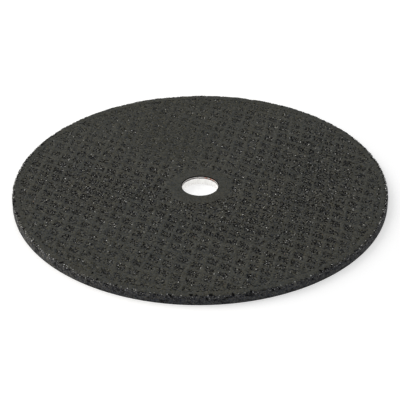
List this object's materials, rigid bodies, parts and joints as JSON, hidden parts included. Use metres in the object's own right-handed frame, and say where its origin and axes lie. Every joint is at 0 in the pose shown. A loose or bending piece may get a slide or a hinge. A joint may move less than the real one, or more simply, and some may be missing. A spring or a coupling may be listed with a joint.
{
  "type": "stone cutting disc",
  "caption": "Flat resin-bonded grinding disc for cutting stone, with a woven net imprint, a smooth clamp land and a tinplate arbor ring in its bore.",
  "frame": {"origin": "centre of the underside, on the bore's axis", "axes": "+Z along the bore's axis, out of the unlabelled face; the net's first set of strands runs at about -33 degrees from +X"},
  "size_m": [0.23, 0.23, 0.006],
  "materials": {
    "bonded_abrasive": "dark olive-grey resin with rough silicon carbide grit",
    "tinplate": "pressed tinplate, semi-bright"
  },
  "bodies": {
    "root": {"abrasive_disc": "bonded_abrasive", "arbor_ring": "tinplate"}
  },
  "joints": []
}
